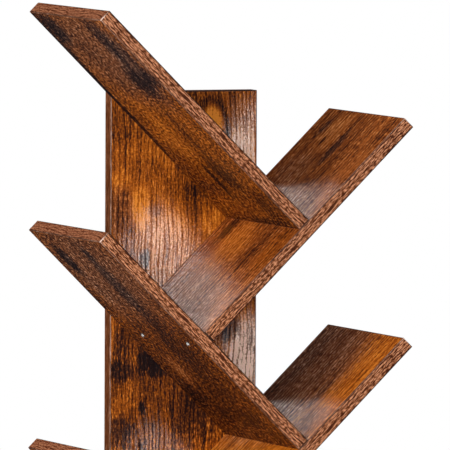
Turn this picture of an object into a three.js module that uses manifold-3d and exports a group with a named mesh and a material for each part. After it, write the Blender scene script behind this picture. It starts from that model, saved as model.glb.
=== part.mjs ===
// Tree shaped bookshelf. A trunk panel stands on a base board, and branch shelves at 45 degrees are
// screwed to its front, left and right in turn. Each branch ends square on the shelf face of the next one
// down, and the last one is mitred to stand on the base board. Lengths are in millimetres, +Z is up and
// the front faces -Y. The origin is on the floor, below the middle of the base board.
import * as THREE from "three";
import { mergeVertices } from "three/addons/utils/BufferGeometryUtils.js";
import Module from "manifold-3d";

const wasm = await Module();
wasm.setup();

// Driving sizes of the bookshelf
const OVERALL_WIDTH = 370;
const BRANCH_DEPTH = 250;
const BRANCH_THICKNESS = 15;
const BRANCH_PITCH = 246; // height from one branch to the next on the same side
const LEFT_BRANCHES = 5;
const RIGHT_BRANCHES = LEFT_BRANCHES - 1;
const TRUNK_WIDTH = 175;
const TRUNK_THICKNESS = 20;
const TRUNK_TOP_COVER = 15; // at the trunk's side, from the first branch's shelf face down to the trunk's top
const BASE_THICKNESS = 15;
const TOUCH_GAP = 0.3; // between a branch's lower end and what it stands on

// Feet
const FOOT_SIDES = 24;
const FOOT_HEIGHT = 5;
const FOOT_RADIUS = 12;
const FOOT_CHAMFER = 1.5;
const FOOT_INSET = 22; // from both edges of the base board to the foot's middle

// Kinds of screw. The head stands "rise" out of the face that it enters or lies "sink" below it, and its
// cone ends at "coneDepth".
const FLAT_SCREW = {
  headRadius: 5,
  rise: 0,
  sink: 0.3,
  coneDepth: 3,
  shankRadius: 2.7,
  tipRadius: 0.8,
  tipLength: 3,
  socketRadius: 2,
  socketDepth: 1.6,
};
const RAISED_SCREW = { ...FLAT_SCREW, headRadius: 4, rise: 1.8, sink: 0 };
const FOOT_SCREW = {
  headRadius: 3.4,
  rise: 0,
  sink: 1.2,
  coneDepth: 3.2,
  shankRadius: 1.5,
  tipRadius: 0.4,
  tipLength: 2,
  socketRadius: 1.3,
  socketDepth: 1.1,
};
const SCREW_SIDES = 12;
const SOCKET_SIDES = 6;
const CROWN_RADIUS_SHARE = 0.6; // the shoulder of a raised head, in shares of its radius and its rise
const CROWN_RISE_SHARE = 0.85;
const HOLE_CLEARANCE = 0.3;
const HOLE_SPARE_DEPTH = 1; // a blind hole runs on past what it holds
const CUT_OVERRUN = 1; // how far a cutter runs out of the face that it enters

// Where the screws sit, and how far each bites into the piece behind
const JOINT_SCREW_FRONT = 40; // from the front edge
const JOINT_SCREW_REAR = 55; // from the rear edge
const JOINT_SCREW_BITE = 35;
const TRUNK_SCREW_SIDE = 40; // along the branch from the trunk's side
const TRUNK_SCREW_END = 40; // along the branch from its lower end
const TRUNK_SCREW_BITE = 25;
const BASE_TRUNK_SCREW_SIDE = 38; // from each side of the trunk
const BASE_TRUNK_SCREW_BITE = 30;
const BASE_BRANCH_SCREW_SIDE = 6; // from the underside's edge of the mitred end
const BASE_BRANCH_SCREW_BITE = 8;
const FOOT_SCREW_BITE = 9;

// Sizes worked out from those above
const SLOPE = Math.PI / 4;
const DIAGONAL = Math.SQRT2; // length along a branch for each unit of height or width that it covers
const OVERALL_DEPTH = BRANCH_DEPTH + TRUNK_THICKNESS;
const FRONT_Y = -OVERALL_DEPTH / 2;
const REAR_Y = OVERALL_DEPTH / 2;
const TRUNK_FRONT_Y = REAR_Y - TRUNK_THICKNESS;
const TRUNK_MIDDLE_Y = REAR_Y - TRUNK_THICKNESS / 2;
const BASE_TOP_Z = FOOT_HEIGHT + BASE_THICKNESS;
const CORNER_X = OVERALL_WIDTH / 2 - BRANCH_THICKNESS / DIAGONAL; // highest corner of a branch
const STEP_DOWN = BRANCH_PITCH / 2; // from a branch to the next one on the other side
const BRANCH_DROP = CORNER_X + STEP_DOWN / 2; // height and width that a shelf face covers
const BRANCH_LENGTH = BRANCH_DROP * DIAGONAL;
const SEAT_ALONG = (CORNER_X - STEP_DOWN / 2) * DIAGONAL; // where the shelf face of the one above lands
const TOP_Z = BASE_TOP_Z + BRANCH_DROP + (LEFT_BRANCHES - 1) * BRANCH_PITCH;
const TRUNK_SIDE_INSET = CORNER_X - TRUNK_WIDTH / 2; // from a branch's highest corner to the trunk's side
const TRUNK_TOP_Z = TOP_Z - TRUNK_SIDE_INSET - TRUNK_TOP_COVER;
const MITRE_WIDTH = BRANCH_THICKNESS * DIAGONAL;
const JOINT_SCREW_YS = {
  front: FRONT_Y + JOINT_SCREW_FRONT,
  rear: TRUNK_FRONT_Y - JOINT_SCREW_REAR,
};
const TRUNK_SCREW_ALONGS = {
  upper: TRUNK_SIDE_INSET * DIAGONAL + TRUNK_SCREW_SIDE,
  lower: BRANCH_LENGTH - TRUNK_SCREW_END,
};
const BASE_TRUNK_SCREW_XS = {
  left: -TRUNK_WIDTH / 2 + BASE_TRUNK_SCREW_SIDE,
  right: TRUNK_WIDTH / 2 - BASE_TRUNK_SCREW_SIDE,
};
const BASE_BRANCH_SCREW_X = BRANCH_DROP - CORNER_X - MITRE_WIDTH + BASE_BRANCH_SCREW_SIDE;
const JOINT_SCREW_LENGTH = BRANCH_THICKNESS + JOINT_SCREW_BITE;
const TRUNK_SCREW_LENGTH = TRUNK_THICKNESS + TRUNK_SCREW_BITE;
const BASE_TRUNK_SCREW_LENGTH = BASE_THICKNESS + BASE_TRUNK_SCREW_BITE;
const BASE_BRANCH_SCREW_LENGTH = BASE_THICKNESS + BASE_BRANCH_SCREW_BITE;
const FOOT_SCREW_LENGTH = FOOT_HEIGHT + FOOT_SCREW_BITE;

const rusticBoard = new THREE.MeshStandardMaterial({ color: 0x7a4522, roughness: 0.5, metalness: 0 });
const zincSteel = new THREE.MeshStandardMaterial({ color: 0xc4c6c8, roughness: 0.3, metalness: 1 });
const blackPlastic = new THREE.MeshStandardMaterial({ color: 0x1c1b1a, roughness: 0.6, metalness: 0 });

const UP = new THREE.Vector3(0, 0, 1);
const FORWARDS = new THREE.Vector3(0, -1, 0);
const LATHE_AXIS = new THREE.Vector3(0, 1, 0);
const UNSCALED = new THREE.Vector3(1, 1, 1);

const shelf = new THREE.Group();

// A closed geometry, moved by a matrix, as a solid that can be cut.
function solidOf(geometry, matrix) {
  const bare = geometry.clone().applyMatrix4(matrix);
  bare.deleteAttribute("normal");
  bare.deleteAttribute("uv");
  const merged = mergeVertices(bare);
  return new wasm.Manifold(
    new wasm.Mesh({
      numProp: 3,
      vertProperties: merged.attributes.position.array,
      triVerts: new Uint32Array(merged.index.array),
    }),
  );
}

// A solid back as a geometry with one normal for each triangle.
function geometryOf(solid) {
  const { vertProperties, triVerts } = solid.getMesh();
  const indexed = new THREE.BufferGeometry();
  indexed.setAttribute("position", new THREE.BufferAttribute(vertProperties, 3));
  indexed.setIndex(new THREE.BufferAttribute(triVerts, 1));
  const faceted = indexed.toNonIndexed();
  faceted.computeVertexNormals();
  return faceted;
}

// A solid of revolution round +Y from [radius, height] pairs, from the low end to the high end.
function turned(profile, sides) {
  const points = profile.map(([radius, height]) => new THREE.Vector2(radius, height));
  return new THREE.LatheGeometry(points, sides);
}

// The matrix that moves a turned shape's zero to a point and its axis to a direction.
function aimed(point, direction) {
  const turn = new THREE.Quaternion().setFromUnitVectors(LATHE_AXIS, direction);
  return new THREE.Matrix4().compose(point, turn, UNSCALED);
}

function addMesh(parent, name, geometry, material, matrix) {
  const mesh = new THREE.Mesh(geometry, material);
  mesh.name = name;
  if (matrix) mesh.applyMatrix4(matrix);
  parent.add(mesh);
}

// A screw for a face at height 0, with its tip at the given length and a hexagon socket in its head.
function screwGeometry(kind, length) {
  const top = kind.sink - kind.rise;
  const shoulder = [kind.headRadius * CROWN_RADIUS_SHARE, -kind.rise * CROWN_RISE_SHARE];
  const crown = kind.rise > 0 ? [[0, top], shoulder] : [[0, top]];
  const shank = [
    [kind.headRadius, kind.sink],
    [kind.shankRadius, kind.coneDepth],
    [kind.shankRadius, length - kind.tipLength],
    [kind.tipRadius, length],
    [0, length],
  ];
  const body = solidOf(turned([...crown, ...shank], SCREW_SIDES), new THREE.Matrix4());
  const height = kind.socketDepth + CUT_OVERRUN;
  const socket = new THREE.CylinderGeometry(kind.socketRadius, kind.socketRadius, height, SOCKET_SIDES);
  const socketPlace = new THREE.Matrix4().makeTranslation(0, top + kind.socketDepth - height / 2, 0);
  return geometryOf(body.subtract(solidOf(socket, socketPlace)));
}

// The room for a whole screw, head and shank.
function screwRoom(kind, length) {
  const seat = kind.headRadius + HOLE_CLEARANCE;
  const hole = kind.shankRadius + HOLE_CLEARANCE;
  const depth = length + HOLE_SPARE_DEPTH;
  const mouth = [[0, -CUT_OVERRUN], [seat, -CUT_OVERRUN], [seat, kind.sink]];
  return turned([...mouth, [hole, kind.coneDepth], [hole, depth], [0, depth]], SCREW_SIDES);
}

// The room for the shank alone, in the piece that the screw bites into.
function shankRoom(kind, bite) {
  const hole = kind.shankRadius + HOLE_CLEARANCE;
  const depth = bite + HOLE_SPARE_DEPTH;
  return turned([[0, -CUT_OVERRUN], [hole, -CUT_OVERRUN], [hole, depth], [0, depth]], SCREW_SIDES);
}

// Adds a screw, and returns the solid with the room for it cut out.
function screwedThrough(solid, parent, name, kind, length, point, direction) {
  const place = aimed(point, direction);
  addMesh(parent, name, screwGeometry(kind, length), zincSteel, place);
  return solid.subtract(solidOf(screwRoom(kind, length), place));
}

// The solid with the room for a screw's shank cut out, from the mouth of its hole.
function boredFor(solid, kind, bite, mouth, direction) {
  return solid.subtract(solidOf(shankRoom(kind, bite), aimed(mouth, direction)));
}

// A branch in its own frame: X runs down the shelf face from the highest corner and Y is depth. The shelf
// face is at Z 0 and the underside at the Z of "under", which has the other sign on the right. The frame
// is turned so that X runs down at 45 degrees towards the other side.
function addBranch(side, number) {
  const isLeft = side === "left";
  const isFirst = isLeft && number === 1;
  const isLast = isLeft && number === LEFT_BRANCHES;
  const under = isLeft ? -BRANCH_THICKNESS : BRANCH_THICKNESS;
  const cornerZ = TOP_Z - (number - 1) * BRANCH_PITCH - (isLeft ? 0 : STEP_DOWN);

  const frame = new THREE.Group();
  frame.position.set(isLeft ? -CORNER_X : CORNER_X, 0, cornerZ);
  frame.rotation.y = isLeft ? SLOPE : Math.PI - SLOPE;
  frame.updateMatrixWorld(true);
  shelf.add(frame);

  const faceEnd = BRANCH_LENGTH - (isLast ? TOUCH_GAP * DIAGONAL : TOUCH_GAP);
  const underEnd = faceEnd - (isLast ? BRANCH_THICKNESS : 0);
  const outline = new THREE.Shape();
  outline.moveTo(0, 0);
  outline.lineTo(faceEnd, 0);
  outline.lineTo(underEnd, under);
  outline.lineTo(0, under);
  outline.closePath();
  const board = new THREE.ExtrudeGeometry(outline, { depth: BRANCH_DEPTH, bevelEnabled: false });
  // The extrusion runs along Z, and this turns it to run forwards from the trunk.
  const laid = new THREE.Matrix4().makeRotationX(Math.PI / 2).setPosition(0, TRUNK_FRONT_Y, 0);
  let solid = solidOf(board, laid);

  for (const along of Object.values(TRUNK_SCREW_ALONGS)) {
    const mouth = new THREE.Vector3(along, TRUNK_FRONT_Y, under / 2);
    solid = boredFor(solid, FLAT_SCREW, TRUNK_SCREW_BITE, mouth, FORWARDS);
  }
  if (!isLast) {
    const upTheBranch = new THREE.Vector3(-1, 0, 0);
    for (const y of Object.values(JOINT_SCREW_YS)) {
      const mouth = new THREE.Vector3(BRANCH_LENGTH, y, under / 2);
      solid = boredFor(solid, RAISED_SCREW, JOINT_SCREW_BITE, mouth, upTheBranch);
    }
  }
  if (!isFirst) {
    const intoFace = new THREE.Vector3(0, 0, -Math.sign(under));
    for (const [place, y] of Object.entries(JOINT_SCREW_YS)) {
      const name = `joint_screw_${side}_${number}_${place}`;
      const point = new THREE.Vector3(SEAT_ALONG + BRANCH_THICKNESS / 2, y, under);
      solid = screwedThrough(solid, frame, name, RAISED_SCREW, JOINT_SCREW_LENGTH, point, intoFace);
    }
  }
  if (isLast) {
    const intoFrame = frame.matrixWorld.clone().invert();
    const upInFrame = UP.clone().transformDirection(intoFrame);
    for (const y of Object.values(JOINT_SCREW_YS)) {
      const mouth = new THREE.Vector3(BASE_BRANCH_SCREW_X, y, BASE_TOP_Z).applyMatrix4(intoFrame);
      solid = boredFor(solid, FLAT_SCREW, BASE_BRANCH_SCREW_BITE, mouth, upInFrame);
    }
  }
  addMesh(frame, `${side}_branch_${number}`, geometryOf(solid), rusticBoard);

  // Where the screws that hold this branch start, in the trunk's back
  return Object.entries(TRUNK_SCREW_ALONGS).map(([place, along]) => ({
    name: `trunk_screw_${side}_${number}_${place}`,
    point: new THREE.Vector3(along, REAR_Y, under / 2).applyMatrix4(frame.matrixWorld),
  }));
}

// The trunk panel, with the screws that go through its back into the branches.
function addTrunk(branchScrews) {
  const height = TRUNK_TOP_Z - BASE_TOP_Z;
  const panel = new THREE.BoxGeometry(TRUNK_WIDTH, TRUNK_THICKNESS, height);
  const middle = new THREE.Matrix4().makeTranslation(0, TRUNK_MIDDLE_Y, BASE_TOP_Z + height / 2);
  let solid = solidOf(panel, middle);
  for (const { name, point } of branchScrews) {
    solid = screwedThrough(solid, shelf, name, FLAT_SCREW, TRUNK_SCREW_LENGTH, point, FORWARDS);
  }
  for (const x of Object.values(BASE_TRUNK_SCREW_XS)) {
    const mouth = new THREE.Vector3(x, TRUNK_MIDDLE_Y, BASE_TOP_Z);
    solid = boredFor(solid, FLAT_SCREW, BASE_TRUNK_SCREW_BITE, mouth, UP);
  }
  addMesh(shelf, "trunk", geometryOf(solid), rusticBoard);
}

// A plastic glide and the screw that goes up through it.
function addFoot(label, x, y) {
  const profile = [
    [0, 0],
    [FOOT_RADIUS - FOOT_CHAMFER, 0],
    [FOOT_RADIUS, FOOT_CHAMFER],
    [FOOT_RADIUS, FOOT_HEIGHT],
    [0, FOOT_HEIGHT],
  ];
  const floorPoint = new THREE.Vector3(x, y, 0);
  const disc = solidOf(turned(profile, FOOT_SIDES), aimed(floorPoint, UP));
  const name = `foot_screw_${label}`;
  const drilled = screwedThrough(disc, shelf, name, FOOT_SCREW, FOOT_SCREW_LENGTH, floorPoint, UP);
  addMesh(shelf, `foot_${label}`, geometryOf(drilled), blackPlastic);
}

// The base board, the screws that go up through it, and its four feet.
function addBase() {
  const board = new THREE.BoxGeometry(OVERALL_WIDTH, OVERALL_DEPTH, BASE_THICKNESS);
  const middle = new THREE.Matrix4().makeTranslation(0, 0, FOOT_HEIGHT + BASE_THICKNESS / 2);
  let solid = solidOf(board, middle);

  for (const [place, x] of Object.entries(BASE_TRUNK_SCREW_XS)) {
    const name = `base_trunk_screw_${place}`;
    const point = new THREE.Vector3(x, TRUNK_MIDDLE_Y, FOOT_HEIGHT);
    solid = screwedThrough(solid, shelf, name, FLAT_SCREW, BASE_TRUNK_SCREW_LENGTH, point, UP);
  }
  for (const [place, y] of Object.entries(JOINT_SCREW_YS)) {
    const name = `base_branch_screw_${place}`;
    const point = new THREE.Vector3(BASE_BRANCH_SCREW_X, y, FOOT_HEIGHT);
    solid = screwedThrough(solid, shelf, name, FLAT_SCREW, BASE_BRANCH_SCREW_LENGTH, point, UP);
  }

  const footX = OVERALL_WIDTH / 2 - FOOT_INSET;
  const footY = OVERALL_DEPTH / 2 - FOOT_INSET;
  for (const [depthName, y] of Object.entries({ front: -footY, rear: footY })) {
    for (const [sideName, x] of Object.entries({ left: -footX, right: footX })) {
      addFoot(`${depthName}_${sideName}`, x, y);
      solid = boredFor(solid, FOOT_SCREW, FOOT_SCREW_BITE, new THREE.Vector3(x, y, FOOT_HEIGHT), UP);
    }
  }
  addMesh(shelf, "base_board", geometryOf(solid), rusticBoard);
}

const branchScrews = [];
for (let number = 1; number <= LEFT_BRANCHES; number++) {
  branchScrews.push(...addBranch("left", number));
}
for (let number = 1; number <= RIGHT_BRANCHES; number++) {
  branchScrews.push(...addBranch("right", number));
}
addTrunk(branchScrews);
addBase();

export default shelf;
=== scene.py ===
"""Looks of the tree shaped bookshelf: laminate boards, glued edge bands, steel screws and plastic glides.

Lengths are in millimetres, unless a name ends in _M. A board's own frame has x along its grain, y across it
and z through its thickness.
"""

import math
from collections import namedtuple

import bmesh
import bpy
from mathutils import Matrix, Vector


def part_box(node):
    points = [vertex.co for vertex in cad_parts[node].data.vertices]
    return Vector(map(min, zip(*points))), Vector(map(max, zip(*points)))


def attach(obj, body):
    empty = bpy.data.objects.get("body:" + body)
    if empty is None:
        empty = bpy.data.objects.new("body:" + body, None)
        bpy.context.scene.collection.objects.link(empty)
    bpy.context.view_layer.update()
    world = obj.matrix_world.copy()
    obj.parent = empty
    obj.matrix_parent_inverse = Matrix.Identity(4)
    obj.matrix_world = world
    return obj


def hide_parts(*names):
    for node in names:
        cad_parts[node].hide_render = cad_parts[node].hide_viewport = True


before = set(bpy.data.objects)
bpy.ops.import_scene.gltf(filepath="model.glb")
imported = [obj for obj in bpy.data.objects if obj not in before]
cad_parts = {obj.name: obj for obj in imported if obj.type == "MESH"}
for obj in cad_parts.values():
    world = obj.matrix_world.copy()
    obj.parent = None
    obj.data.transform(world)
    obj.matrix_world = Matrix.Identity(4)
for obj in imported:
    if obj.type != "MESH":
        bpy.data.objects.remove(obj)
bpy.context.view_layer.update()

BODY = "root"
MM = 0.001
HALF = 0.5

# Directions of the boards in the part's frame. The branches slope at 45 degrees, whose sine is SLOPE.
SLOPE = HALF**HALF
RIGHT = (1, 0, 0)
BACK = (0, 1, 0)
DOWN = (0, 0, -1)
DOWN_RIGHT = (SLOPE, 0, -SLOPE)
DOWN_LEFT = (-SLOPE, 0, -SLOPE)

# Boards and their edge bands.
BRANCH_THICKNESS = 15
BRANCH_DEPTH = 250
TRUNK_THICKNESS = 20
BASE_THICKNESS = 15
BAND_THICKNESS = 1.3
ARRIS_RADIUS = 1.1
ARRIS_STEPS = 3
CORE_ARRIS_STEPS = 2
# The base board's countersinks narrow from a depth of 0.3 mm on, and their rounded mouths end before that.
CORE_ARRIS = 0.25

# How a board's mesh is read: how near two places count as one, angles in radians, and the least z of a normal
# that counts as facing up.
SAME_PLACE = 0.01
FLAT_ANGLE = 0.02
SHARP_ANGLE = 1.0
FACE_NORMAL_LEAST = 0.9
X_AXIS = 0
Y_AXIS = 1

# A core has its print as its first material and the band's print on its edges as its second. A band has its
# print as its first and the look of its rounded edges, with painted highlights and painted shade, as its
# second.
FACE_MATERIAL = 0
EDGE_MATERIAL = 1

# The camera, fitted to the corners of the boards in the photograph. Its angles are in degrees.
CAMERA_PLACE_M = (-4.7803, -13.71, 1.7976)
CAMERA_YAW = 19.257
CAMERA_PITCH = -3.175
CAMERA_ROLL = 0.234
CAMERA_LENS = 1035.75
CAMERA_SENSOR = 36
CAMERA_CLIP_START_M = 0.1
CAMERA_CLIP_END_M = 200
UPRIGHT = 90
MATRIX_SIZE = 4

# Sockets that are known by number, because their names repeat.
MIX_FACTOR = 0
MIX_FIRST = 6
MIX_SECOND = 7
MIX_RESULT = 2
SHADER_FACTOR = 0
SHADER_FIRST = 1
SHADER_SECOND = 2

OPAQUE = 1
RAMP_END = 1
NOISE_SCALE = 1

BoardFrame = namedtuple("BoardFrame", "matrix thickness banded")

# A side of a board: the axis it faces along, its place on that axis, and the way in to its band's inner face.
Side = namedtuple("Side", "axis place inset")

# The axes along and across an edge band in its board's frame, and the seed of its print.
Run = namedtuple("Run", "along inward seed")
BandFinish = namedtuple("BandFinish", "print arris")
Lamp = namedtuple("Lamp", "name place target width height power diffuse glossy")

# A noise whose marks have about that length along the grain and that width across it.
Mark = namedtuple("Mark", "length width detail")

# Dark lines along the grain, a pitch apart. Each is the trough of a wave and is gone where the wave is above
# "clear". They drift sideways by some pitches, and fade to a faint share of their strength.
Lines = namedtuple("Lines", "pitch clear drift drift_mark fade_mark faint")

Grain = namedtuple(
    "Grain",
    "grooves groove_tone mottle mottle_tone streak_tone patch_tone vein_tone gloss pore_gloss stops",
)
# A band look's near, corner and far tones paint highlights and shade on the rounded edges.
BandLook = namedtuple("BandLook", "tone contrast stops near_tone far_tone corner_tone", defaults=(0, 0, 0))

# The picture on a board: its tone, its ash, which greys the brown, the strength of its random blotches, the z
# of the face with stains, and the stains, some of which are patches of painted sheen and painted shade.
Print = namedtuple("Print", "tone ash blotches face stains")

# A stain has its middle at x and y, and adds to the tone and the ash; patches of painted sheen and painted
# shade are made the same way. A ring of its own tone can go round it.
Stain = namedtuple("Stain", "x y half_length half_width tone ash ragged ring", defaults=(1, 0))
LaminateMarks = namedtuple("LaminateMarks", "point streak dash glint blotch patch mottle vein groove")

# Each seed and each face of a board has another stretch of every noise.
FIRST_SEED = 1
SEED_STEP = 7.3
FACE_SPLIT = 5

# Marks of the laminate, and what some of them do to the tone. The whole grain sways across the board.
SWAY_MARK = Mark(110, 60, 1)
SWAY = 14
STREAK = Mark(60, 5, 3)
DASH = Mark(6, 1.1, 1)
DASH_TONE = 0.5
GLINT_LOW = 0.03
GLINT_HIGH = 0.3
GLINT_TONE = 0.3
BLOTCH = Mark(130, 38, 2)
PATCH = Mark(34, 18, 2)
VEIN = Mark(120, 16, 2)
VEIN_THIN = 0.035

# Faces without stains have strong blotches, and ash where these are dark.
AWAY_ASH = 0.35
AWAY_ASH_BLOTCH = -0.2

# Lines that are dark grooves or the marks of an edge band.
WAVE_TROUGH = -1
LINE_FADE_LOW = -0.12
LINE_FADE_HIGH = 0.12
TRUNK_GROOVES = Lines(5, 0, 3, Mark(160, 26, 2), Mark(45, 9, 1), 0.7)
LEFT_GROOVES = Lines(9, 0, 3, Mark(160, 30, 2), Mark(60, 20, 1), 0.2)
RIGHT_GROOVES = Lines(9, 0.2, 1.6, Mark(160, 40, 2), Mark(60, 14, 1), 0.4)
BAND_LINES = Lines(3.4, -0.2, 3, Mark(40, 10, 2), Mark(16, 3, 1), 0.3)

# Grooves and pores break the gloss of the laminate's lacquer.
GROOVE_DEPTH_M = 0.0003
GROOVE_STRENGTH = 0.2
PORE_SPREAD = 0.12
LAMINATE_ROUGHNESS = 0.5
LAMINATE_SPECULAR = 0
LACQUER_ROUGHNESS = 0.16
LACQUER_IOR = 1.6

# Stains, and the patches of painted sheen and shade, are ellipses with ragged edges. They reach only some way
# into a board, and so show on one face.
STAIN_DEPTH = 8
STAIN_DEPTH_FADE = 1
STAIN_INSIDE = 0.45
STAIN_RIM = 1
STAIN_OUTSIDE = 1.15
STAIN_RAGGED = 0.9
STAIN_STREAKED = 0.7
RING_WIDTH = 0.3

LAMINATE_STOPS = (
    (0, (0.012, 0.006, 0.006)),
    (0.25, (0.055, 0.016, 0.006)),
    (0.5, (0.21, 0.050, 0.006)),
    (0.75, (0.47, 0.119, 0.010)),
    (1, (0.90, 0.31, 0.035)),
)
RED_STOPS = (
    (0, (0.012, 0.006, 0.006)),
    (0.25, (0.056, 0.015, 0.006)),
    (0.5, (0.215, 0.046, 0.005)),
    (0.75, (0.48, 0.109, 0.008)),
    (1, (0.90, 0.285, 0.03)),
)
# Greyed browns of the ash. The palest stop is this pale because the painted sheen patches on the trunk use
# it.
ASH_AND_SHEEN_STOPS = (
    (0, (0.012, 0.008, 0.009)),
    (0.3, (0.040, 0.021, 0.018)),
    (0.6, (0.13, 0.065, 0.042)),
    (0.8, (0.285, 0.16, 0.105)),
    (1, (0.92, 0.64, 0.49)),
)
TRUNK_GRAIN = Grain(
    grooves=TRUNK_GROOVES,
    groove_tone=0.23,
    mottle=Mark(2.2, 2.2, 2),
    mottle_tone=0.8,
    streak_tone=0.42,
    patch_tone=0.5,
    vein_tone=0.2,
    gloss=1,
    pore_gloss=0.6,
    stops=LAMINATE_STOPS,
)
LEFT_GRAIN = Grain(
    grooves=LEFT_GROOVES,
    groove_tone=0.1,
    mottle=Mark(3.2, 5.2, 2),
    mottle_tone=2.05,
    streak_tone=0.3,
    patch_tone=0.4,
    vein_tone=0.1,
    gloss=0.45,
    pore_gloss=0.6,
    stops=LAMINATE_STOPS,
)
RIGHT_GRAIN = Grain(
    grooves=RIGHT_GROOVES,
    groove_tone=0.34,
    mottle=Mark(6, 3.2, 2),
    mottle_tone=1.15,
    streak_tone=0.34,
    patch_tone=0.4,
    vein_tone=0.08,
    gloss=0.92,
    pore_gloss=0.35,
    stops=RED_STOPS,
)

# Marks of the edge bands. A band's far side is its half that is higher in z, its corner is its very start,
# and its near stretch fades out from there. On rounded edges these carry painted light: a painted highlight
# at the corner and along the near stretch, and painted shade on the far side, except on the trunk, whose far
# side gets a painted highlight.
BAND_GRAIN = Mark(5, 1, 2)
BAND_LINE_TONE = 1.1
BAND_GLEAM_TONE = 0.5
GLEAM_SEED_STEP = 1
FAR_SIDE = 7
FAR_SIDE_END = 8
CORNER_LENGTH = 1.5
NEAR_LENGTH = 70
BAND_DEPTH_M = 0.0002
BAND_STRENGTH = 0.4
BAND_ROUGHNESS = 0.45
BAND_SPECULAR = 0.08
BAND_STOPS = (
    (0, (0.05, 0.009, 0.001)),
    (0.5, (0.185, 0.052, 0.014)),
    (1, (0.56, 0.24, 0.12)),
)
BAND_END_STOPS = (
    (0.1, (0.10, 0.022, 0.007)),
    (0.5, (0.29, 0.085, 0.036)),
    (0.9, (0.47, 0.19, 0.09)),
)
# Colours of the rounded edges, up to the pale of their painted highlights.
ARRIS_AND_HIGHLIGHT_STOPS = (
    (0, (0.02, 0.008, 0.006)),
    (0.2, (0.10, 0.035, 0.018)),
    (0.5, (0.21, 0.085, 0.045)),
    (0.8, (0.32, 0.16, 0.09)),
    (1, (0.75, 0.55, 0.46)),
)
BAND_LOOK = BandLook(0.55, 4.6, BAND_STOPS)
END_LOOK = BandLook(0.6, 3.4, BAND_END_STOPS)
TRUNK_LOOK = BandLook(0.36, 1, BAND_STOPS)
# Rounded edges of the branch bands: painted highlight at the corner and along the near stretch, painted shade
# on the far side.
ARRIS_PAINTED_LIGHT_LOOK = BandLook(0.26, 1.7, ARRIS_AND_HIGHLIGHT_STOPS, near_tone=0.3, far_tone=-0.9, corner_tone=1.1)
# Rounded edges of the trunk's bands: a painted highlight on the far side, by the front face.
TRUNK_ARRIS_PAINTED_LIGHT_LOOK = BandLook(0.1, 1.2, ARRIS_AND_HIGHLIGHT_STOPS, far_tone=0.55)
ALONG_BOARD = Run("X", "Y", 1)
ACROSS_BOARD = Run("Y", "X", 2)

# Screws and glides. The scratches and the grain are counted to a millimetre.
STEEL_COLOUR = (0.92, 0.88, 0.82)
STEEL_METALLIC = 1
STEEL_ROUGHNESS = 0.22
SCRATCHES = (0.6, 4, 4)
SCRATCH_DETAIL = 1
SCRATCH_ROUGHNESS = 0.2
SCRATCH_DEPTH_M = 0.00002
PLASTIC_STOPS = ((0, (0.012, 0.012, 0.013)), (1, (0.03, 0.03, 0.032)))
PLASTIC_ROUGHNESS = 0.5
PLASTIC_DETAIL = 1
PLASTIC_GRAIN_M = 0.00005

# The studio. Lamps and room are in metres, and the lamps' power in watts. Some lamps light the boards, and
# one shows in their gloss.
AMBIENT = 0.45
WHITE = (1, 1, 1)
FLOOR_COLOUR = (0.86, 0.86, 0.86)
FLOOR_FADE_START_M = 1.5
FLOOR_FADE_END_M = 6
WALL_COLOUR = (0.015, 0.015, 0.015)
ROOM_SIZE_M = (6.4, 4.5, 4)
ROOM_CENTRE_M = (0, -1.05, 2)
LAMPS = (
    Lamp("front_softbox", (-0.2, -2.9, 2.0), (0, 0, 0.75), 0.9, 0.75, 98, False, True),
    Lamp("front_fill", (-0.9, -3.1, 1.1), (0, 0, 0.75), 1.7, 1.3, 40, True, False),
    Lamp("left_softbox", (-3.0, -1.7, 1.7), (0, 0, 0.8), 1.6, 1.2, 75, True, False),
)

# Boards that repeat the print of a board above, left for right.
REPEATED_PRINTS = {
    "left_branch_3": "left_branch_1",
    "left_branch_4": "left_branch_2",
    "left_branch_5": "left_branch_1",
    "right_branch_3": "right_branch_1",
    "right_branch_4": "right_branch_2",
}
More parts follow.
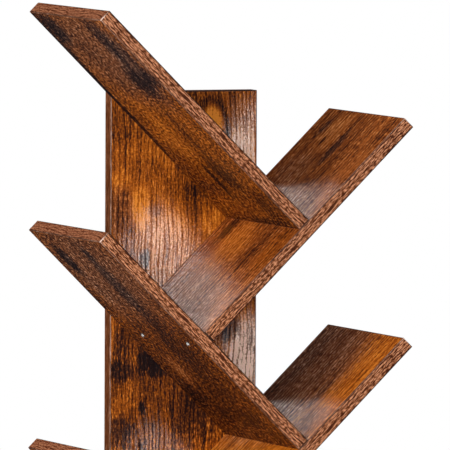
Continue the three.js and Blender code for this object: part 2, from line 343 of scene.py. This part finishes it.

# Prints with the stains that the photograph shows. A board that has none gets the plain print.
PLAIN_PRINT = Print(0.56, 0.1, 0.9, 0, ())
# Some patches in these prints are painted sheen and painted shade, as marked at each.
PRINTS = {
    "left_branch_1": Print(0.435, 0.03, 0.2, 0, (
        Stain(55, 125, 95, 190, 0.045, 0.5),
        Stain(104, 78, 30, 38, -0.34, 0.35),
        Stain(80, 45, 75, 45, -0.08, 0.35),
        Stain(95, 200, 60, 44, 0.01, -0.08),
        Stain(95, 20, 18, 36, -0.18, 0.3),
        Stain(30, 60, 50, 30, -0.16, 0.2),
        Stain(25, 215, 32, 38, -0.32, 0.5),
        # The next two are painted contact shade: a dark line along the rear edge of the underside, where the
        # board meets the trunk.
        Stain(80, 246, 90, 14, -0.45, 0.4, 0.4),
        Stain(180, 246, 70, 14, -0.48, 0, 0.4),
        Stain(190, 160, 66, 60, 0.165, -0.1),
        Stain(175, 55, 60, 38, 0.025, 0),
        Stain(185, 92, 60, 11, -0.15, 0),
        Stain(252, 92, 30, 34, -0.32, 0),
        Stain(268, 147, 40, 8, -0.42, 0, 0.6),
        Stain(282, 200, 12, 40, -0.06, 0.1),
        Stain(300, 35, 30, 44, -0.16, 0),
        Stain(330, 100, 10, 120, -0.2, 0.1),
        Stain(312, 165, 30, 90, 0.06, 0),
    )),
    "left_branch_2": Print(0.32, 0.06, 0.2, 0, (
        Stain(55, 120, 105, 190, 0.155, 0.54),
        Stain(80, 102, 75, 26, -0.15, 0.35),
        Stain(60, 157, 80, 24, 0.03, 0),
        Stain(45, 203, 26, 24, -0.46, 0.4),
        Stain(42, 197, 9, 9, 0.4, 0.3),
        Stain(28, 97, 14, 14, -0.2, 0.3),
        Stain(105, 248, 30, 6, -0.25, 0.3),
        Stain(105, 195, 60, 30, 0.07, 0.1),
        Stain(180, 92, 80, 52, -0.15, 0),
        Stain(222, 182, 30, 26, 0.27, 0.15),
        Stain(190, 225, 18, 40, 0.05, 0),
        Stain(265, 215, 26, 40, -0.16, 0.1),
        Stain(290, 110, 20, 80, -0.13, 0),
        Stain(325, 120, 16, 140, 0, 0),
    )),
    "right_branch_1": Print(0.67, 0.15, 0.2, 0, (
        Stain(125, 90, 24, 70, 0.05, 0.1),
        Stain(322, 60, 16, 80, 0.14, 0.1),
        Stain(54, 127, 34, 15, -0.24, 0.3, 0.7),
        Stain(28, 207, 18, 12, -0.16, 0.3),
        Stain(35, 172, 34, 34, 0.19, 0),
        Stain(95, 185, 34, 60, 0.08, 0.2),
        Stain(48, 178, 10, 6, -0.4, 0, 0.5),
        Stain(22, 18, 22, 16, -0.12, 0),
        Stain(50, 90, 60, 18, -0.07, 0),
        Stain(205, 30, 50, 30, -0.06, -0.1),
        Stain(210, 80, 60, 18, -0.19, 0),
        Stain(210, 160, 50, 60, 0.17, -0.1),
        Stain(190, 210, 22, 16, -0.43, 0),
        # Painted sheen: brighter and greyer where the lamp's sheen falls on the low end of the board.
        Stain(298, 140, 50, 150, 0.1, 0.1),
        Stain(252, 90, 18, 40, 0.12, -0.1),
        # Painted sheen: brighter and greyer in the low sheen towards the back.
        Stain(270, 190, 40, 60, 0.06, 0.1),
    )),
    "right_branch_2": Print(0.84, 0, 0.2, 0, (
        Stain(60, 190, 140, 135, -0.075, 0.55),
        Stain(60, 240, 120, 60, -0.1, 0.2),
        Stain(97, 92, 30, 14, -0.08, 0.2),
        Stain(130, 40, 24, 44, -0.14, 0.2),
        Stain(7, 65, 5, 6, -0.2, 0),
    )),
    "trunk": Print(0.65, 0, 0.2, TRUNK_THICKNESS, (
        Stain(40, 10, 30, 14, -0.18, 0),
        Stain(100, 12, 14, 12, 0.12, 0),
        Stain(138, 12, 34, 18, -0.1, 0.25, 0.5),
        Stain(132, 36, 28, 14, 0.34, 0),
        Stain(135, 52, 8, 12, -0.1, 0.3),
        Stain(120, 102, 44, 26, -0.17, 0),
        Stain(112, 106, 12, 20, -0.15, 0),
        # Painted sheen: brighter and greyer where the lamp's sheen falls between the first left and right
        # branches.
        Stain(180, 68, 60, 52, 0.27, 0.3),
        Stain(190, 42, 12, 8, -0.3, 0.6),
        Stain(144, 122, 26, 18, 0.19, 0),
        Stain(20, 96, 30, 8, -0.2, 0),
        Stain(48, 119, 38, 20, 0.2, 0, 0.35, -0.4),
        Stain(38, 121, 24, 12, 0.28, 0, 0.5),
        # The next three are painted sheen: pale and grey at the right, above and below the first right
        # branch.
        Stain(40, 158, 40, 24, 0.14, 0.4),
        Stain(85, 158, 50, 24, 0.44, 0.4),
        Stain(300, 160, 60, 26, 0.38, 0.8),
        # Painted shade: dark beside the front band of the second left branch.
        Stain(268, 140, 24, 13, -0.35, 0, 0.6),
        Stain(350, 60, 90, 90, -0.16, 0),
        Stain(282, 18, 26, 18, -0.19, 0),
        Stain(316, 14, 15, 23, -0.27, 0.1),
        Stain(304, 54, 23, 23, -0.6, 0.1, 0.5),
        Stain(332, 40, 18, 22, -0.03, 0),
        # Darker below the second left branch.
        Stain(365, 100, 40, 34, -0.21, 0.1),
        Stain(385, 12, 20, 20, -0.24, 0.15),
        Stain(358, 40, 9, 5, -0.4, 0),
        Stain(345, 22, 30, 16, 0.08, 0),
    )),
}


class Wire:
    """A socket of a material. Arithmetic on wires adds the nodes that work it out."""

    def __init__(self, finish, socket):
        self.finish = finish
        self.socket = socket
        self.is_vector = socket.type in ("VECTOR", "RGBA")

    def worked(self, operation, *values, output=0):
        """The result of a Math node, or of a Vector Math node for a vector."""
        kind = "ShaderNodeVectorMath" if self.is_vector else "ShaderNodeMath"
        return self.finish.node(kind, {"operation": operation}, dict(enumerate(values)), output)

    def __add__(self, other):
        return self.worked("ADD", self, other)

    def __radd__(self, other):
        return self.worked("ADD", other, self)

    def __sub__(self, other):
        return self.worked("SUBTRACT", self, other)

    def __rsub__(self, other):
        return self.worked("SUBTRACT", other, self)

    def __mul__(self, other):
        return self.worked("MULTIPLY", self, other)

    def __rmul__(self, other):
        return self.worked("MULTIPLY", other, self)

    def __abs__(self):
        """The size of a number, or the length of a vector."""
        if self.is_vector:
            return self.worked("LENGTH", self, output="Value")
        return self.worked("ABSOLUTE", self)

    def part(self, axis):
        """A vector's part along X, Y or Z."""
        return self.finish.node("ShaderNodeSeparateXYZ", {}, {"Vector": self}, axis)


class Finish:
    """The nodes of a material or of the world, under construction."""

    def __init__(self, owner):
        self.owner = owner
        owner.use_nodes = True
        self.tree = owner.node_tree
        self.tree.nodes.clear()

    def node(self, kind, settings, inputs, output=0):
        """Adds a node, sets its settings and then its sockets, and gives one of its outputs."""
        made = self.tree.nodes.new(kind)
        for name, value in settings.items():
            if name == "stops":
                fill_ramp(made.color_ramp, value)
            else:
                setattr(made, name, value)
        for name, value in inputs.items():
            if isinstance(value, Wire):
                self.tree.links.new(value.socket, made.inputs[name])
            else:
                made.inputs[name].default_value = value
        return Wire(self, made.outputs[output])

    def place(self):
        """The point on the piece, in millimetres of the piece's own frame."""
        point = self.node("ShaderNodeTexCoord", {}, {}, "Object")
        return point * (1 / MM, 1 / MM, 1 / MM)

    def joined(self, x, y, z):
        """A vector from its three parts."""
        return self.node("ShaderNodeCombineXYZ", {}, {"X": x, "Y": y, "Z": z})

    def noise(self, point, detail):
        """Smooth noise around zero, about one to each unit of the point."""
        inputs = {"Vector": point, "Scale": NOISE_SCALE, "Detail": detail}
        return self.node("ShaderNodeTexNoise", {}, inputs) - HALF

    def ramp(self, value, stops):
        """The colour at a value, between the stops of a ramp."""
        return self.node("ShaderNodeValToRGB", {"stops": stops}, {"Fac": value})

    def mixed(self, factor, first, second):
        """The first colour at a factor of zero, and the second at one."""
        inputs = {MIX_FACTOR: factor, MIX_FIRST: first, MIX_SECOND: second}
        return self.node("ShaderNodeMix", {"data_type": "RGBA"}, inputs, MIX_RESULT)

    def spread(self, value, low, high, start=0, end=1):
        """Takes low to high of the value smoothly to start to end."""
        inputs = {"Value": value, "From Min": low, "From Max": high, "To Min": start, "To Max": end}
        return self.node("ShaderNodeMapRange", {"interpolation_type": "SMOOTHSTEP"}, inputs)

    def bumped(self, height, distance, strength):
        """The normal of a surface with that height."""
        inputs = {"Height": height, "Distance": distance, "Strength": strength}
        return self.node("ShaderNodeBump", {}, inputs)

    def close(self, **sockets):
        """Ends the material with one Principled shader, whose sockets are named with underscores."""
        inputs = {name.replace("_", " "): value for name, value in sockets.items()}
        return self.end("ShaderNodeOutputMaterial", self.node("ShaderNodeBsdfPrincipled", {}, inputs))

    def end(self, kind, surface):
        """Links the surface to an output node, and gives the finished material or world."""
        output = self.tree.nodes.new(kind)
        self.tree.links.new(surface.socket, output.inputs["Surface"])
        return self.owner


def fill_ramp(ramp, stops):
    """Gives a colour ramp its stops, each a position and a colour."""
    while len(ramp.elements) < len(stops):
        ramp.elements.new(RAMP_END)
    for element, (position, colour) in zip(ramp.elements, stops):
        element.position = position
        element.color = (*colour, OPAQUE)


def marked(finish, point, mark, seed):
    """A noise of marks of one kind, other on each face of a board and for each seed."""
    strewn = point * (1 / mark.length, 1 / mark.width, FACE_SPLIT) + (seed * SEED_STEP, seed, 0)
    return finish.noise(strewn, mark.detail)


def line(finish, value, thin):
    """1 along the thin line where a value crosses zero, and 0 beside it."""
    return finish.spread(abs(value), 0, thin, 1, 0)


def lines(finish, point, kind, seed):
    """1 in the middle of dark lines along x and 0 between them."""
    drift = marked(finish, point, kind.drift_mark, seed) * kind.drift
    turn = (point.part("Y") * (1 / kind.pitch) + drift) * math.tau
    wave = finish.node("ShaderNodeMath", {"operation": "SINE"}, {0: turn})
    fade = marked(finish, point, kind.fade_mark, seed)
    strength = finish.spread(fade, LINE_FADE_LOW, LINE_FADE_HIGH, kind.faint, 1)
    return finish.spread(wave, WAVE_TROUGH, kind.clear, 1, 0) * strength


def stains_and_painted_light(finish, marks, picture):
    """The tone and the ash that the stains of a board add up to, with its patches of painted sheen and
    painted shade.
    """
    raggedness = marks.dash * STAIN_RAGGED + marks.streak * STAIN_STREAKED
    tone = 0
    ash = 0
    for stain in picture.stains:
        offset = marks.point - (stain.x, stain.y, picture.face)
        reach = (1 / stain.half_length, 1 / stain.half_width, 1 / STAIN_DEPTH)
        distance = abs(offset * reach) + raggedness * stain.ragged
        mask = finish.spread(distance, STAIN_INSIDE, STAIN_OUTSIDE, 1, 0)
        tone = mask * stain.tone + tone
        if stain.ring:
            tone = line(finish, distance - STAIN_RIM, RING_WIDTH) * stain.ring + tone
        ash = mask * stain.ash + ash
    return tone, ash


def laminate_marks(finish, place, grain, seed):
    """The noises and lines that the tone, the gloss and the relief of a laminate share."""
    sway = marked(finish, place, SWAY_MARK, seed) * SWAY
    point = place + finish.joined(0, sway, 0)
    dash = marked(finish, point, DASH, seed)
    return LaminateMarks(
        point=point,
        streak=marked(finish, point, STREAK, seed),
        dash=dash,
        glint=finish.spread(dash, GLINT_LOW, GLINT_HIGH),
        blotch=marked(finish, point, BLOTCH, seed),
        patch=marked(finish, point, PATCH, seed),
        mottle=marked(finish, point, grain.mottle, seed),
        vein=line(finish, marked(finish, point, VEIN, seed), VEIN_THIN),
        groove=lines(finish, point, grain.grooves, seed),
    )


def laminate(name, seed, grain, picture):
    """Printed and embossed laminate with its grain along x, and patches of painted sheen and painted shade
    among its stains.
    """
    finish = Finish(bpy.data.materials.new(name))
    place = finish.place()
    marks = laminate_marks(finish, place, grain, seed)
    stain_and_light_tone, stain_and_sheen_ash = stains_and_painted_light(finish, marks, picture)
    depth = abs(place.part("Z") - picture.face)
    away = marks.blotch * finish.spread(depth, STAIN_DEPTH - STAIN_DEPTH_FADE, STAIN_DEPTH)
    tone = marks.streak * grain.streak_tone + marks.dash * DASH_TONE + marks.mottle * grain.mottle_tone
    tone = tone + marks.blotch * picture.blotches + away
    tone = tone + marks.patch * grain.patch_tone + marks.glint * GLINT_TONE + stain_and_light_tone + picture.tone
    tone = tone - marks.groove * grain.groove_tone - marks.vein * grain.vein_tone
    ash = stain_and_sheen_ash + finish.spread(away, 0, AWAY_ASH_BLOTCH) * AWAY_ASH + picture.ash
    pore = finish.spread(marks.mottle, -PORE_SPREAD, PORE_SPREAD, 1, 0)
    return finish.close(
        Base_Color=finish.mixed(ash, finish.ramp(tone, grain.stops), finish.ramp(tone, ASH_AND_SHEEN_STOPS)),
        Roughness=LAMINATE_ROUGHNESS,
        Specular_IOR_Level=LAMINATE_SPECULAR,
        Coat_Weight=(1 - marks.groove) * (1 - pore * grain.pore_gloss) * grain.gloss,
        Coat_Roughness=LACQUER_ROUGHNESS,
        Coat_IOR=LACQUER_IOR,
        Normal=finish.bumped(marks.dash - marks.groove, GROOVE_DEPTH_M, GROOVE_STRENGTH),
    )


def edge_band(name, run, look):
    """Wood print of a glued edge band that runs along or across its board. A rounded-edge look adds painted
    highlights and painted shade.
    """
    finish = Finish(bpy.data.materials.new(name))
    place = finish.place()
    along = place.part(run.along)
    height = place.part("Z")
    point = finish.joined(along, height, place.part(run.inward))
    mark = lines(finish, point, BAND_LINES, run.seed)
    gleam = lines(finish, point, BAND_LINES, run.seed + GLEAM_SEED_STEP)
    grain = marked(finish, point, BAND_GRAIN, run.seed)
    # Where the rounded edges get painted highlights and painted shade: near the start, on the far side and at
    # the corner.
    near = finish.spread(along, 0, NEAR_LENGTH, 1, 0)
    far = finish.spread(height, FAR_SIDE, FAR_SIDE_END)
    corner = finish.spread(along, 0, CORNER_LENGTH, 1, 0)
    tone = grain * look.contrast + gleam * BAND_GLEAM_TONE - mark * BAND_LINE_TONE + look.tone
    tone = tone + near * look.near_tone + far * look.far_tone + corner * look.corner_tone
    return finish.close(
        Base_Color=finish.ramp(tone, look.stops),
        Roughness=BAND_ROUGHNESS,
        Specular_IOR_Level=BAND_SPECULAR,
        Normal=finish.bumped(grain - mark, BAND_DEPTH_M, BAND_STRENGTH),
    )


def band_finish(name, run, look, arris_painted_light_look):
    """The materials of a band: its print, and the look of its rounded edges, with painted highlights and
    painted shade.
    """
    return BandFinish(edge_band("band_" + name, run, look), edge_band("arris_" + name, run, arris_painted_light_look))


def steel():
    """Bright zinc plating with fine scratches."""
    finish = Finish(bpy.data.materials.new("zinc_plated_steel"))
    scratch = finish.noise(finish.place() * SCRATCHES, SCRATCH_DETAIL)
    return finish.close(
        Base_Color=(*STEEL_COLOUR, OPAQUE),
        Metallic=STEEL_METALLIC,
        Roughness=scratch * SCRATCH_ROUGHNESS + STEEL_ROUGHNESS,
        Normal=finish.bumped(scratch, SCRATCH_DEPTH_M, HALF),
    )


def plastic():
    """Black moulded plastic with a fine grain."""
    finish = Finish(bpy.data.materials.new("moulded_black_plastic"))
    grain = finish.noise(finish.place(), PLASTIC_DETAIL)
    return finish.close(
        Base_Color=finish.ramp(grain + HALF, PLASTIC_STOPS),
        Roughness=PLASTIC_ROUGHNESS,
        Normal=finish.bumped(grain, PLASTIC_GRAIN_M, HALF),
    )


def frame_matrix(origin, x_axis, y_axis):
    """A board's frame as a matrix, from its origin and two axes in the part's frame."""
    x_axis = Vector(x_axis)
    y_axis = Vector(y_axis)
    turn = Matrix((x_axis, y_axis, x_axis.cross(y_axis))).transposed().to_4x4()
    return Matrix.Translation(origin) @ turn


def left_branch_frame(node):
    """Origin at the upper front corner of the underside; z points out of the shelf face."""
    low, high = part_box(node)
    origin = (low.x, low.y, high.z - BRANCH_THICKNESS * MM * SLOPE)
    return BoardFrame(frame_matrix(origin, DOWN_RIGHT, BACK), BRANCH_THICKNESS, ("front", "head"))


def right_branch_frame(node):
    """Origin at the upper front corner of the shelf face; z points out of the underside."""
    low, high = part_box(node)
    origin = (high.x - BRANCH_THICKNESS * MM * SLOPE, low.y, high.z)
    return BoardFrame(frame_matrix(origin, DOWN_LEFT, BACK), BRANCH_THICKNESS, ("front", "head"))


def trunk_frame():
    """Origin at the top left corner of the back; x runs down and z points out of the front face."""
    low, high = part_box("trunk")
    matrix = frame_matrix((low.x, high.y, high.z), DOWN, RIGHT)
    return BoardFrame(matrix, TRUNK_THICKNESS, ("front", "rear", "head"))


def base_frame():
    """Origin at the lower left front corner."""
    low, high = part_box("base_board")
    return BoardFrame(frame_matrix(low, RIGHT, BACK), BASE_THICKNESS, ("front", "rear", "head", "foot"))


def board_frames():
    """The frame of every board, by the name of its node."""
    frames = {"trunk": trunk_frame(), "base_board": base_frame()}
    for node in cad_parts:
        if node.startswith("left_branch"):
            frames[node] = left_branch_frame(node)
        if node.startswith("right_branch"):
            frames[node] = right_branch_frame(node)
    return frames


def add_piece(name, mesh, matrix, materials):
    """Puts a mesh of a board's frame in place as a piece of the shelf."""
    data = bpy.data.meshes.new(name)
    mesh.to_mesh(data)
    mesh.free()
    for material in materials:
        data.materials.append(material)
    piece = bpy.data.objects.new(name, data)
    bpy.context.scene.collection.objects.link(piece)
    piece.matrix_world = matrix
    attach(piece, BODY)
    return piece


def board_mesh(node, board):
    """A CAD board's own mesh in the board's frame, in metres, with its triangles joined to whole faces."""
    mesh = bmesh.new()
    mesh.from_mesh(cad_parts[node].data)
    bmesh.ops.transform(mesh, matrix=board.matrix.inverted(), verts=mesh.verts)
    bmesh.ops.remove_doubles(mesh, verts=mesh.verts, dist=SAME_PLACE * MM)
    bmesh.ops.dissolve_limit(mesh, angle_limit=FLAT_ANGLE, verts=mesh.verts, edges=mesh.edges)
    return mesh


def board_sides(mesh):
    """The four sides of a board by name, each of which can carry a band."""
    sides = {}
    for axis, low_side, high_side in ((X_AXIS, "head", "foot"), (Y_AXIS, "front", "rear")):
        places = [vertex.co[axis] for vertex in mesh.verts]
        sides[low_side] = Side(axis, min(places), BAND_THICKNESS * MM)
        sides[high_side] = Side(axis, max(places), -BAND_THICKNESS * MM)
    return sides


def add_core(node, board, materials):
    """The board without its bands, with the screw holes of the CAD board."""
    mesh = board_mesh(node, board)
    sides = board_sides(mesh)
    for side in board.banded:
        axis, place, inset = sides[side]
        for vertex in mesh.verts:
            if abs(vertex.co[axis] - place) < SAME_PLACE * MM:
                vertex.co[axis] = place + inset
    mesh.normal_update()
    for face in mesh.faces:
        face.material_index = FACE_MATERIAL if abs(face.normal.z) > FACE_NORMAL_LEAST else EDGE_MATERIAL
    core = add_piece(node + "_core", mesh, board.matrix, materials)
    rounding = core.modifiers.new("arris", "BEVEL")
    rounding.width = CORE_ARRIS * MM
    rounding.segments = CORE_ARRIS_STEPS
    rounding.limit_method = "ANGLE"
    rounding.angle_limit = SHARP_ANGLE
    rounding.material = EDGE_MATERIAL
    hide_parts(node)


def band_ends(mesh, board, axis, z):
    """Where a band that faces along an axis starts and ends, at one height of its board."""
    level = [vertex.co for vertex in mesh.verts if abs(vertex.co.z - z) < SAME_PLACE * MM]
    if axis == Y_AXIS:
        return min(point.x for point in level), max(point.x for point in level)
    start = min(point.y for point in level)
    end = max(point.y for point in level)
    if "front" in board.banded:
        start = start + BAND_THICKNESS * MM
    if "rear" in board.banded:
        end = end - BAND_THICKNESS * MM
    return start, end


def band_faces(node, board, side):
    """The corners of a band's outer face and of its inner face, each in order round the face."""
    mesh = board_mesh(node, board)
    axis, place, inset = board_sides(mesh)[side]
    thickness = board.thickness * MM
    lower_start, lower_end = band_ends(mesh, board, axis, 0)
    upper_start, upper_end = band_ends(mesh, board, axis, thickness)
    mesh.free()
    outline = ((lower_start, 0), (lower_end, 0), (upper_end, thickness), (upper_start, thickness))
    if axis == X_AXIS:
        return [[(depth, along, z) for along, z in outline] for depth in (place, place + inset)]
    return [[(along, depth, z) for along, z in outline] for depth in (place, place + inset)]


def shifted(corners):
    """The same corners in the same order, from the second on to the first."""
    first, *others = corners
    return [*others, first]


def add_band(node, board, side, materials):
    """One edge band with its outer edges rounded over."""
    mesh = bmesh.new()
    outer, inner = [[mesh.verts.new(corner) for corner in face] for face in band_faces(node, board, side)]
    mesh.faces.new(outer)
    mesh.faces.new(inner)
    for wall in zip(outer, shifted(outer), shifted(inner), inner):
        mesh.faces.new(wall)
    bmesh.ops.recalc_face_normals(mesh, faces=mesh.faces)
    bmesh.ops.bevel(
        mesh,
        geom=[edge for edge in mesh.edges if all(corner in outer for corner in edge.verts)],
        offset=ARRIS_RADIUS * MM,
        offset_type="OFFSET",
        segments=ARRIS_STEPS,
        profile=HALF,
        affect="EDGES",
        material=EDGE_MATERIAL,
    )
    add_piece(f"{node}_band_{side}", mesh, board.matrix, materials)


def board_grain(node):
    """The grain of a board's laminate."""
    if node == "trunk":
        return TRUNK_GRAIN
    if node.startswith("right"):
        return RIGHT_GRAIN
    return LEFT_GRAIN


def board_print(node):
    """A board's own print, or that of the board it repeats, turned left for right."""
    if node not in REPEATED_PRINTS:
        return PRINTS.get(node, PLAIN_PRINT)
    repeated = PRINTS[REPEATED_PRINTS[node]]
    stains = [stain._replace(y=BRANCH_DEPTH - stain.y) for stain in repeated.stains]
    return repeated._replace(stains=stains)


def add_boards():
    """Every board as a core with its bands."""
    along = band_finish("along", ALONG_BOARD, BAND_LOOK, ARRIS_PAINTED_LIGHT_LOOK)
    across = band_finish("across", ACROSS_BOARD, END_LOOK, ARRIS_PAINTED_LIGHT_LOOK)
    trunk = band_finish("trunk", ALONG_BOARD, TRUNK_LOOK, TRUNK_ARRIS_PAINTED_LIGHT_LOOK)
    for seed, (node, board) in enumerate(sorted(board_frames().items()), FIRST_SEED):
        face = laminate("laminate_" + node, seed, board_grain(node), board_print(node))
        add_core(node, board, (face, along.print))
        for side in board.banded:
            materials = trunk if node == "trunk" else along
            if side in ("head", "foot"):
                materials = across
            add_band(node, board, side, materials)


def dress_fasteners():
    """Gives the CAD screws and glides their own materials."""
    metal = steel()
    moulded = plastic()
    for node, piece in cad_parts.items():
        if "screw" in node:
            piece.material_slots[0].material = metal
        elif node.startswith("foot"):
            piece.material_slots[0].material = moulded


def rotation(degrees, axis):
    """A turn about one of the axes, as a matrix."""
    return Matrix.Rotation(math.radians(degrees), MATRIX_SIZE, axis)


def add_camera():
    """The camera of the photograph."""
    data = bpy.data.cameras.new("camera")
    data.sensor_width = CAMERA_SENSOR
    data.lens = CAMERA_LENS
    data.clip_start = CAMERA_CLIP_START_M
    data.clip_end = CAMERA_CLIP_END_M
    camera = bpy.data.objects.new("camera", data)
    bpy.context.scene.collection.objects.link(camera)
    turn = rotation(-CAMERA_YAW, "Z") @ rotation(UPRIGHT + CAMERA_PITCH, "X") @ rotation(CAMERA_ROLL, "Z")
    camera.matrix_world = Matrix.Translation(CAMERA_PLACE_M) @ turn
    bpy.context.scene.camera = camera


def add_lamp(lamp):
    """A soft area lamp that faces a target. It can leave the diffuse light or the gloss to other lamps."""
    data = bpy.data.lights.new(lamp.name, "AREA")
    data.shape = "RECTANGLE"
    data.size = lamp.width
    data.size_y = lamp.height
    data.energy = lamp.power
    made = bpy.data.objects.new(lamp.name, data)
    made.location = lamp.place
    made.rotation_euler = (Vector(lamp.target) - Vector(lamp.place)).to_track_quat("-Z", "Y").to_euler()
    made.visible_camera = False
    made.visible_diffuse = lamp.diffuse
    made.visible_glossy = lamp.glossy
    bpy.context.scene.collection.objects.link(made)


def stage_object(name, mesh, material):
    """Something that belongs to the studio and not to the shelf."""
    data = bpy.data.meshes.new(name)
    mesh.to_mesh(data)
    mesh.free()
    data.materials.append(material)
    made = bpy.data.objects.new(name, data)
    bpy.context.scene.collection.objects.link(made)
    return made


def floor_material():
    """Pale floor that keeps the shelf's shadow and clears away to the white background further out."""
    finish = Finish(bpy.data.materials.new("pale_floor"))
    distance = abs(finish.node("ShaderNodeTexCoord", {}, {}, "Object"))
    clear = finish.spread(distance, FLOOR_FADE_START_M, FLOOR_FADE_END_M)
    pale = finish.node("ShaderNodeBsdfDiffuse", {}, {"Color": (*FLOOR_COLOUR, OPAQUE)})
    gone = finish.node("ShaderNodeBsdfTransparent", {}, {})
    inputs = {SHADER_FACTOR: clear, SHADER_FIRST: pale, SHADER_SECOND: gone}
    return finish.end("ShaderNodeOutputMaterial", finish.node("ShaderNodeMixShader", {}, inputs))


def wall_material():
    """The dim walls of the studio, as the boards' gloss shows them."""
    finish = Finish(bpy.data.materials.new("dim_wall"))
    glow = finish.node("ShaderNodeEmission", {}, {"Color": (*WALL_COLOUR, OPAQUE)})
    return finish.end("ShaderNodeOutputMaterial", glow)


def studio_world():
    """Even light from all around; the camera, gloss and glass see plain white."""
    world = bpy.data.worlds.new("studio")
    world.cycles.sampling_method = "NONE"
    finish = Finish(world)
    seen = finish.node("ShaderNodeLightPath", {}, {}, "Is Camera Ray")
    for ray in ("Is Glossy Ray", "Is Transmission Ray"):
        seen = seen + finish.node("ShaderNodeLightPath", {}, {}, ray)
    strength = finish.node("ShaderNodeMapRange", {}, {"Value": seen, "To Min": AMBIENT})
    light = finish.node("ShaderNodeBackground", {}, {"Color": (*WHITE, OPAQUE), "Strength": strength})
    return finish.end("ShaderNodeOutputWorld", light)


def add_walls():
    """Dim walls and ceiling that only gloss sees, round the lamps and open to the floor."""
    mesh = bmesh.new()
    bmesh.ops.create_cube(mesh, size=1)
    downward = [face for face in mesh.faces if face.normal.z < -FACE_NORMAL_LEAST]
    bmesh.ops.delete(mesh, geom=downward, context="FACES_ONLY")
    for vertex in mesh.verts:
        vertex.co = vertex.co * Vector(ROOM_SIZE_M) + Vector(ROOM_CENTRE_M)
    walls = stage_object("dim_walls", mesh, wall_material())
    walls.visible_camera = False
    walls.visible_diffuse = False
    walls.visible_shadow = False
    walls.visible_transmission = False


def add_studio():
    """Floor, walls, lamps and the world."""
    floor = bmesh.new()
    bmesh.ops.create_grid(floor, size=FLOOR_FADE_END_M)
    stage_object("floor", floor, floor_material())
    add_walls()
    for lamp in LAMPS:
        add_lamp(lamp)
    bpy.context.scene.world = studio_world()


add_camera()
add_boards()
dress_fasteners()
add_studio()
bpy.context.scene.view_settings.view_transform = "Standard"
